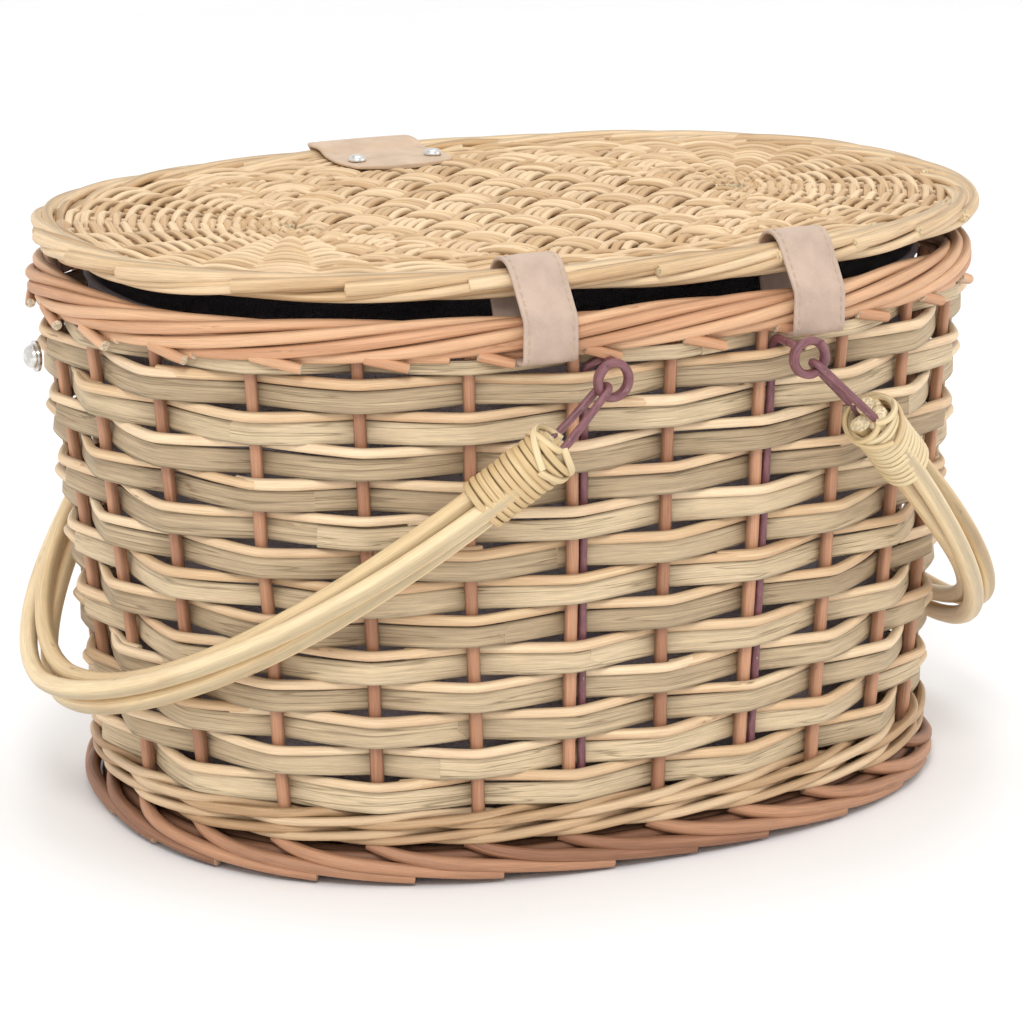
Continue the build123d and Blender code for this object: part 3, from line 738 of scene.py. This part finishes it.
# ---------------------------------------------------------------- lid
lid_low, lid_high = node_box("lid_border")
LID_A, LID_B = lid_high[0] - 6.5, lid_high[1] - 6.5
LID_MID = (lid_low[2] + lid_high[2]) / 2
lid_share = even_angle(LID_A, LID_B)
FACE_Z = node_box("lid_weave")[1][2] - 2.4
border = Strands()
rope(border, LID_A, LID_B, LID_MID, lid_share, 30, 5.8, 5.6, 3.9, 2.35, 2.5, 0.45, 0.12)
# Thick butts that end on top of the border, each tucked under the next
for index in range(25):
    v = np.linspace(0, 1, 44)
    along = (index + rng.uniform(-0.15, 0.15) + v * rng.uniform(1.9, 2.5)) / 25
    phase = 0.25 + 1.5 * v + rng.normal(0, 0.08)
    centre, out = on_oval(LID_A, LID_B, along, LID_MID + 0 * v, 0.0, lid_share)
    swell = through(v, [0, 0.12, 0.6, 1.0], [1.1, 1.16, 1.02, 0.7])
    line = centre + out * (6.2 * np.cos(phase) * swell)[:, None] + UP * (4.5 * np.sin(phase) * swell)[:, None]
    border.add(line, out, np.linspace(3.15, 2.2, 44) + wander(44, 0.08, 6), tint=rng.random() * 0.7)
u = np.linspace(0, 1.004, 300)
line, out = on_oval(LID_A, LID_B, u, LID_MID + 0 * u, 0.0, lid_share)
border.add(line, out, 2.6, 4.0, tint=0.9)
border.build("lid_border_rods", LID_MAT, "lid", "lid_willow", "lid_border")

STAR = {-1: (-108.0, -10.0), 1: (105.0, -10.0)}
ROD = 1.95


def level(side, angle, t):
    """A ring of the lid: a small circle round the star at t = 0, the border's inner edge at t = 1."""
    sx, sy = STAR[side]
    x, y, _, _ = oval_xy(LID_A - 6.5, LID_B - 6.5, np.arctan2(np.sin(angle), np.cos(angle)))
    x0, y0 = sx + 9 * np.cos(angle), sy + 9 * np.sin(angle)
    return x0 + (x - x0) * t, y0 + (y - y0) * t


top = Strands()
spokes = Strands()
RINGS = 27
for side in (-1, 1):
    middle = math.pi if side < 0 else 0.0
    for ring in range(RINGS):
        t = (ring + 0.5) / RINGS
        sweep = math.radians(104 - 16 * t)
        n = int(50 + 130 * t)
        angle = middle + np.linspace(-sweep, sweep, n)
        x, y = level(side, angle, t)
        spoke = (angle - middle) / math.radians(11.0)
        z = FACE_Z + 1.9 * np.cos(math.pi * (spoke + ring)) + wander(n, 0.15, 8)
        z = z - 2.6 * np.clip((np.abs(angle - middle) - sweep + 0.12) / 0.12, 0, 1)
        line = np.stack([x + wander(n, 0.22, 7), y + wander(n, 0.22, 7), z], 1)
        top.add(line, UP, ROD * 1.02 + wander(n, 0.07, 8), ROD * 0.9, round_section(8), tint=tone(n, 0.2, 5))
    for spoke in range(-8, 9):
        angle = middle + math.radians(11.0) * spoke
        t = np.linspace(0.0, 0.985, 40)
        x, y = level(side, np.full(40, angle), t)
        line = np.stack([x, y, FACE_Z + 0 * t - 0.5], 1)
        spokes.add(line, UP, 1.8)
spokes.build("lid_spokes", LID_MAT, "lid", "lid_willow", "lid_sticks")

# Outer rods that run the whole way round, over the ends of the plait
for ring in range(6):
    inset = 7.5 + 4.1 * ring
    n = 330
    u = np.linspace(0, 1.012, n) + ring * 0.17
    z = FACE_Z + 0.9 * np.cos(math.pi * (u * 62 + ring)) + wander(n, 0.15, 20)
    line, out = on_oval(LID_A - inset, LID_B - inset, u, z, wander(n, 0.25, 20), lid_share)
    end_zone = np.abs(line[:, 0]) > 128
    line[end_zone, 2] -= 0.8
    top.add(line, UP, ROD * 1.05, ROD * 0.92, round_section(8), tint=tone(n, 0.25, 12))


def inside_plait(x, y):
    a, b = LID_A - 30.0, LID_B - 30.0
    body = np.abs(x / a) ** POWER + np.abs(y / b) ** POWER < 1.0
    for side, (sx, sy) in STAR.items():
        reach = (x - sx) * side
        body &= reach < -2 + 0.24 * np.abs(y - sy)
    return body


BUNDLE, PER = 20.6, 4
for family, tilt in ((0, 41.0), (1, -43.0)):
    heading = math.radians(tilt)
    run = np.array([math.cos(heading), math.sin(heading)])
    across = np.array([-run[1], run[0]])
    other = math.radians(-43.0 if family == 0 else 41.0)
    other_across = np.array([-math.sin(other), math.cos(other)])
    for bundle in range(-9, 10):
        for rod in range(PER):
            shift = bundle * BUNDLE + (rod - (PER - 1) / 2) * 4.05 + rng.normal(0, 0.15)
            s = np.linspace(-190, 190, 191)
            xy = across[None] * shift + run[None] * s[:, None]
            keep = inside_plait(xy[:, 0], xy[:, 1])
            if keep.sum() < 8:
                continue
            first, last = np.argmax(keep), len(keep) - np.argmax(keep[::-1])
            s, xy = s[first:last], xy[first:last]
            n = len(s)
            crossing = (xy @ other_across) / BUNDLE
            lift = np.cos(math.pi * (crossing + bundle + family))
            z = FACE_Z + 0.1 + 2.1 * np.sign(lift) * np.abs(lift) ** 0.6 + rng.normal(0, 0.12)
            drop = np.minimum(np.arange(n), np.arange(n)[::-1])
            z = z - 2.2 * np.clip(1 - drop / 3.0, 0, 1)
            drift = wander(n, 0.3, 5)
            line = np.stack([xy[:, 0] + across[0] * drift, xy[:, 1] + across[1] * drift, z], 1)
            top.add(line, UP, 2.05 + wander(n, 0.08, 5), 1.6, round_section(8), tint=tone(n, 0.15, 4))
top.build("lid_top", LID_MAT, "lid", "lid_willow", "lid_weave")

# Lining under the lid: a thin stretched cloth with a turned edge
lining_low, lining_high = node_box("lid_lining")


def disc(name, a, b, z, thick, around=220, rings=26):
    turn = np.linspace(0, 1, around, endpoint=False)
    layers, grain = [], []
    for side in (0, 1):
        for ring in range(rings):
            share = (ring + 0.15) / (rings - 0.85)
            share = share if side == 0 else 1 - share + 0.15 / (rings - 0.85)
            x, y = oval_xy(a, b, turn * TAU - math.pi / 2)[:2]
            sag = -1.0 * np.cos(share * math.pi / 2) + 0.25 * np.sin(x * share / 21) * np.cos(y * share / 17)
            height = z + (0 if side == 0 else thick) + sag * (1 - share**6)
            layers.append(np.stack([x * share, y * share, height], 1))
            grain.append(np.stack([x * share, y * share, 0 * x], 1))
    return tube_mesh(name, layers, grain, flip=True)


lining_mesh = disc("lining", lining_high[0], lining_high[1], lining_low[2] + 0.6, 1.0)
lining = place(lining_mesh, "lining", LINING_MAT, "lid", ("lid_lining",))

# ---------------------------------------------------------------- leather
def turns_left(a, b, c):
    return (b[0] - a[0]) * (c[1] - a[1]) > (b[1] - a[1]) * (c[0] - a[0])


def hull(points):
    """The outline of a string pulled tight round the points."""
    points = sorted(map(tuple, points))
    ends = []
    for ordered in (points, points[::-1]):
        chain = []
        for p in ordered:
            while len(chain) > 1 and not turns_left(chain[-2], chain[-1], p):
                chain.pop()
            chain.append(p)
        ends += chain[:-1]
    return np.array(ends)


def resample(points, n, closed=False):
    points = np.asarray(points, float)
    if closed:
        points = np.concatenate([points, points[:1]])
    travelled = distances(points)
    at = np.linspace(0, travelled[-1], n, endpoint=not closed)
    return np.stack([np.interp(at, travelled, points[:, k]) for k in range(points.shape[1])], 1)


def normals(outline):
    """Unit normals of a flat outline, to the right of its direction."""
    heading = np.gradient(outline, axis=0)
    normal = np.stack([heading[:, 1], -heading[:, 0]], 1)
    return normal / np.linalg.norm(normal, axis=1)[:, None]


def upright(flat, x):
    """Points of a flat outline, stood in the plane at x."""
    return np.stack([np.full(len(flat), x), flat[:, 0], flat[:, 1]], 1)


def stitches(strands, line, out, side, offset, lift, dash=2.5, gap=1.5):
    """A line of short sunk stitches along a leather edge."""
    travelled = distances(line)
    at = gap
    while at + dash < travelled[-1]:
        s = np.linspace(at, at + dash, 6)
        point = np.stack([np.interp(s, travelled, line[:, k]) for k in range(3)], 1)
        normal = np.stack([np.interp(s, travelled, out[:, k]) for k in range(3)], 1)
        arch = lift + 0.22 * np.sin(np.linspace(0, math.pi, 6))
        stitch = point + side * offset + normal * arch[:, None]
        strands.add(stitch, normal, 0.36, 0.3, round_section(6), tint=0.3)
        at += dash + gap


def cut_hole(mesh, x, z, half_x, half_z):
    """Cut a hole through a strap and close the cut between its two faces. Lengths in metres."""
    def within(point, spare):
        return abs(point.x - x) < half_x + spare and abs(point.z - z) < half_z + spare

    leather = bmesh.new()
    leather.from_mesh(mesh)
    for side in (-1, 1):
        for point, axis in (((x + side * half_x, 0, 0), (1, 0, 0)), ((0, 0, z + side * half_z), (0, 0, 1))):
            everything = leather.verts[:] + leather.edges[:] + leather.faces[:]
            bmesh.ops.bisect_plane(leather, geom=everything, plane_co=point, plane_no=axis)
    inside = [face for face in leather.faces if within(face.calc_center_median(), 0)]
    bmesh.ops.delete(leather, geom=inside, context="FACES")
    open_edges = [edge for edge in leather.edges if edge.is_boundary]
    border = [edge for edge in open_edges if all(within(vert.co, 1e-5) for vert in edge.verts)]
    bmesh.ops.bridge_loops(leather, edges=border)
    leather.to_mesh(mesh)
    leather.free()


hinge_axis = joint_place("lid_hinge")
STRAP_INNER_Y = -139.0
for name in ("left", "right"):
    low, high = node_box(f"hinge_strap_{name}")
    x, half = (low[0] + high[0]) / 2, (high[0] - low[0]) / 2
    roll = high[2] - hinge_axis[2] - 0.9
    turn = np.linspace(0, TAU, 90)
    spots = [np.stack([hinge_axis[1] + roll * np.cos(turn), hinge_axis[2] + roll * np.sin(turn)], 1)]
    for cy in (low[1] + 3.1, STRAP_INNER_Y):
        for cz in (low[2] + 3.1, rim_high[2] - 0.5):
            spots.append(np.stack([cy + 2.2 * np.cos(turn), cz + 2.2 * np.sin(turn)], 1))
    outline = resample(hull(np.concatenate(spots)), 200, closed=True)
    for _ in range(10):
        outline = 0.5 * outline + 0.25 * (np.roll(outline, 1, 0) + np.roll(outline, -1, 0))
    start = np.argmax(outline[:, 0])
    outline = np.roll(outline, -start, 0)[::-1]
    outline = np.concatenate([outline, outline[:6]])
    normal = normals(outline)
    if ((outline - outline.mean(0)) * normal).sum() < 0:
        normal = -normal
    n = len(outline)
    line, out = upright(outline, x), upright(normal, 0.0)
    line[:, 0] += wander(n, 0.15, 5)
    strap = Strands()
    strap.add(line, out, half + wander(n, 0.12, 7), 0.9, LEATHER_SECTION, tint=0.0)
    strap.build(f"strap_{name}", LEATHER_MAT, "basket", "leather", f"hinge_strap_{name}")
    thread = Strands()
    for edge in (-1, 1):
        stitches(thread, line, out, np.array([1.0, 0, 0]), edge * (half - 2.3), 0.72)
    thread.build(f"strap_{name}_thread", THREAD_MAT, "basket", "leather")

tab_low, tab_high = node_box("closure_tab")
flap_low, flap_high = node_box("closure_flap")
crease = joint_place("flap_crease")
tab_x = (tab_low[0] + tab_high[0]) / 2
tab_half, flap_half = (tab_high[0] - tab_low[0]) / 2, (flap_high[0] - flap_low[0]) / 2
tab_top = tab_low[2] + 0.9
shape = [(90.0, tab_top), (132.0, tab_top), (138.5, crease[2] - 0.1), (crease[1] - 1.5, crease[2]),
         (crease[1] + 2.2, crease[2] - 1.4), (crease[1] + 9.6, crease[2] - 17.0),
         (crease[1] + 13.2, crease[2] - 50.0), (flap_high[1] - 0.9, flap_low[2] + 1.0)]
outline = resample(shape, 170)
relax(outline, 14)
travelled = distances(outline)
tip = travelled[-1]
width_at = [0, 2, 7, 12, 46, 62, 76, 100, tip - 8, tip - 3, tip]
widths = [6, 12, tab_half - 2, tab_half, tab_half, tab_half]
widths += [flap_half + 1, flap_half, flap_half, flap_half - 2, flap_half - 7]
width = through(travelled, width_at, widths)
line, out = upright(outline, tab_x), upright(-normals(outline), 0.0)
closure = Strands()
closure.add(line, out, width, 0.9, LEATHER_SECTION, tint=0.0)
closure_piece = closure.build("closure_strap", TAB_MAT, None, "leather", "closure_tab", "closure_flap")
eyelet_low, eyelet_high = node_box("eyelet_plate")
hole_middle = (eyelet_low + eyelet_high) / 2000
cut_hole(closure_piece.data, hole_middle[0], hole_middle[2], 0.012, 0.006)
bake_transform(closure_piece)

CHROME_NODES = ["liner_stud_left", "liner_stud_right", "tab_rivets"]
CHROME_NODES += ["eyelet_plate", "button_base", "turn_button"]
for node in CHROME_NODES:
    piece = frame["nodes"][node]
    for slot in range(len(piece.data.materials)):
        piece.data.materials[slot] = CHROME_MAT

# ---------------------------------------------------------------- handles
REACH, HALF_WIDE, HANDLE_POWER = 240.0, 182.0, 1.8
RING_R, RING_Y = 7.5, 172.5
HANDLES = {"left": (-1, 39.9), "right": (1, 45.5)}


def handle_line(turn, grow):
    s, c = np.sin(turn), np.cos(turn)
    r = (REACH + grow) * s ** (2 / HANDLE_POWER)
    y = (HALF_WIDE + grow) * np.sign(c) * np.abs(c) ** (2 / HANDLE_POWER)
    return r, y


for name, (side, hang) in HANDLES.items():
    pivot = joint_place(f"{name}_handle_swing")
    hang = math.radians(hang)
    away = np.array([side * math.cos(hang), 0, -math.sin(hang)])
    across = np.array([0, 1.0, 0])
    lift = np.cross(away, across)
    body = f"{name}_handle"

    def spot(r, y, h=0.0):
        r, y, h = np.broadcast_arrays(r, y, h)
        return pivot[None] + away[None] * r[:, None] + across[None] * y[:, None] + lift[None] * h[:, None]

    for rod in range(3):
        n = 190
        turn = np.linspace(math.radians(11.0), math.radians(169.0), n)
        share = np.linspace(0, 1, n)
        twist = math.radians(90 + 120 * rod) + 0.55 * np.sin(2.4 * math.pi * share) + wander(n, 0.08, 5)
        loose = 1 + 0.16 * np.sin(math.pi * share) + wander(n, 0.04, 6)
        grow, rise = 5.2 * loose * np.cos(twist), 5.2 * loose * np.sin(twist)
        r, y = handle_line(turn, grow)
        rods = Strands()
        radius = 4.25 + wander(n, 0.18, 9) + 0.2 * np.cos(TAU * share)
        rods.add(spot(r, y, rise), lift, radius, section=round_section(14), tint=tone(n, 0.15, 6))
        rods.build(f"{name}_rod_{rod + 1}", HANDLE_MAT, body, "handle_willow", f"{name}_handle_rod_{rod + 1}")

    for end_name, end in (("hinge", -1), ("closure", 1)):
        r, y = handle_line(np.radians(np.array([12.0, 31.5])), 0.0)
        run = np.array([r[1] - r[0], end * (y[1] - y[0])])
        run /= np.linalg.norm(run)
        mouth = np.array([r[0], end * y[0]]) - run * 8.0
        run3 = away * run[0] + across * run[1]
        mouth3 = pivot + away * mouth[0] + across * mouth[1]
        beside3 = np.cross(lift, run3)

        def wound(angle, ahead, size):
            radial = beside3[None] * np.cos(angle)[:, None] + lift[None] * np.sin(angle)[:, None]
            return mouth3[None] + run3[None] * ahead[:, None] + radial * size[:, None], radial

        cane = Strands()
        n = 12 * 30
        turns = np.linspace(0, TAU * 12, n)
        ahead = 5.0 + turns / TAU * 3.15 + wander(n, 0.15, 18)
        size = 10.5 + 0.35 * np.cos(3 * turns + 1) + wander(n, 0.12, 24)
        line, radial = wound(turns, ahead, size)
        cane.add(line, radial, 1.55 + wander(n, 0.05, 20), 1.15, CANE_SECTION)
        for cross in (-1, 1):
            for lay in (0, 1):
                m = 60
                swing = np.linspace(0, math.pi, m)
                angle = swing * cross + (0.2 + lay * math.pi)
                ahead = 1.5 + 11.5 * np.linspace(0, 1, m) ** 1.1 + 0.8 * cross
                size = 12.1 - 4.2 * np.exp(-np.linspace(0, 7, m)) - 0.3 * lay
                line, radial = wound(angle, ahead, size)
                cane.add(line, radial, 1.6, 1.0, CANE_SECTION)
        # Packed ends of the rods inside the mouth of the binding
        for plug in range(3):
            angle = TAU * plug / 3 + 0.6
            centre = mouth3 + beside3 * 4.6 * math.cos(angle) + lift * 4.6 * math.sin(angle)
            s = np.linspace(1.0 + plug * 0.9, 26, 8)
            cane.add(centre[None] + run3[None] * s[:, None], lift, 4.2, section=round_section(12), tint=0.7)
        cane.build(f"{name}_binding_{end_name}", CANE_MAT, body, "binding_cane",
                   f"{name}_handle_binding_{end_name}")

        ring = np.array([RING_R, end * RING_Y])
        foot_mark = mouth + run * 7.0
        heading = foot_mark - ring
        heading /= np.linalg.norm(heading)
        sideways = np.array([-heading[1], heading[0]])
        route = [foot_mark + sideways * 6.6, foot_mark + sideways * 6.4 - heading * 7]
        for angle in np.linspace(math.radians(62), math.radians(298), 14):
            route.append(ring + heading * 4.4 * math.cos(angle) + sideways * 4.4 * math.sin(angle))
        route += [foot_mark - sideways * 6.4 - heading * 7, foot_mark - sideways * 6.6]
        route = resample(route, 70)
        relax(route, 4)
        loop = Strands()
        line = spot(route[:, 0], route[:, 1], wander(70, 0.1, 4))
        loop.add(line, lift, 1.75 + wander(70, 0.05, 9), section=round_section(14))
        loop.build(f"{name}_loop_{end_name}", WIRE_MAT, body, "wire", f"{name}_handle_loop_{end_name}")

        # Ring eye of one and three quarter turns on the wall, then down beside its stake
        eye = Strands()
        ring_y = end * RING_Y
        shank = math.radians(45.0 if end < 0 else -38.0)
        n = 90
        turn = np.linspace(shank - TAU * 1.78, shank, n)
        slide = np.linspace(1.7, -1.2, n) * end
        ring_x = pivot[0] - side * RING_R * np.cos(turn)
        ring_z = pivot[2] + RING_R * np.sin(turn)
        ring_line = np.stack([ring_x, ring_y + slide, ring_z], 1)
        shank_x, shank_z = ring_x[-1], ring_z[-1]
        stake_u = side * 1.0 if end < 0 else 13.0 - side * 1.0
        down, _ = wall(np.full(40, stake_u), np.linspace(shank_z - 5, 34, 40), 0.0)
        down[:, 0] += 5.5
        inward = np.linspace(ring_y - 2 * end, down[0, 1] + 3 * end, 6)
        stub = np.stack([np.full(6, shank_x), inward, np.full(6, shank_z)], 1)
        whole = resample(np.concatenate([ring_line, stub, down]), 260)
        relax(whole, 5)
        out = np.tile(np.array([0, float(end), 0.05]), (260, 1))
        centre = np.array([pivot[0], ring_y, pivot[2]])
        near = np.linalg.norm(whole - centre, axis=1) < 11
        out[near] = (whole - centre)[near]
        out[~near] = np.array([1.0, 0, 0.3])
        eye.add(whole, out, 1.8 + wander(260, 0.05, 20), section=round_section(12))
        eye.build(f"{name}_wire_{end_name}", WIRE_MAT, "basket", "wire", f"{name}_wall_wire_{end_name}")

# ---------------------------------------------------------------- studio
floor_mesh = bpy.data.meshes.new("floor")
grid = np.linspace(-3.5, 3.5, 15)
floor_points = [(x, y, -0.0002) for y in grid for x in grid]
corners = [r * 15 + c for r in range(14) for c in range(14)]
floor_faces = [(k, k + 1, k + 16, k + 15) for k in corners]
floor_mesh.from_pydata(floor_points, [], floor_faces)
floor = bpy.data.objects.new("floor", floor_mesh)
floor_mesh.materials.append(plain_floor("floor"))
scene.collection.objects.link(floor)

world = bpy.data.worlds.new("studio")
scene.world = world
world.use_nodes = True
world.node_tree.nodes["Background"].inputs[0].default_value = (1.0, 1.0, 1.0, 1)
world.node_tree.nodes["Background"].inputs[1].default_value = 1.0
scene.view_settings.view_transform = "Standard"


def lamp(name, at, aim, size, power):
    data = bpy.data.lights.new(name, "AREA")
    data.shape, data.size, data.energy = "DISK", size, power
    light = bpy.data.objects.new(name, data)
    scene.collection.objects.link(light)
    light.location = at
    direction = np.array(aim) - np.array(at)
    tip_down = math.atan2(math.hypot(direction[0], direction[1]), -direction[2])
    light.rotation_euler = (tip_down, 0, math.atan2(direction[1], direction[0]) - math.pi / 2)


lamp("key", (-0.9, -1.5, 1.7), (0, 0, 0.12), 0.7, 17)
lamp("fill", (1.6, -1.1, 0.9), (0, 0, 0.12), 1.2, 3)
lamp("top", (0.2, 0.4, 2.0), (0, 0, 0.1), 1.2, 6)

camera_data = bpy.data.cameras.new("camera")
camera_data.sensor_width = 36.0
camera_data.lens = 139.06
camera = bpy.data.objects.new("camera", camera_data)
scene.collection.objects.link(camera)
target = np.array([-0.00036, 0.0, 0.11947])
azimuth, elevation, distance = math.radians(-25.98), math.radians(15.41), 1.81895
level_out = math.cos(elevation)
back = np.array([level_out * math.sin(azimuth), -level_out * math.cos(azimuth), math.sin(elevation)])
camera.location = target + back * distance
camera.rotation_euler = (math.pi / 2 - elevation, 0, azimuth)
bpy.context.scene.camera = camera

bpy.context.view_layer.update()
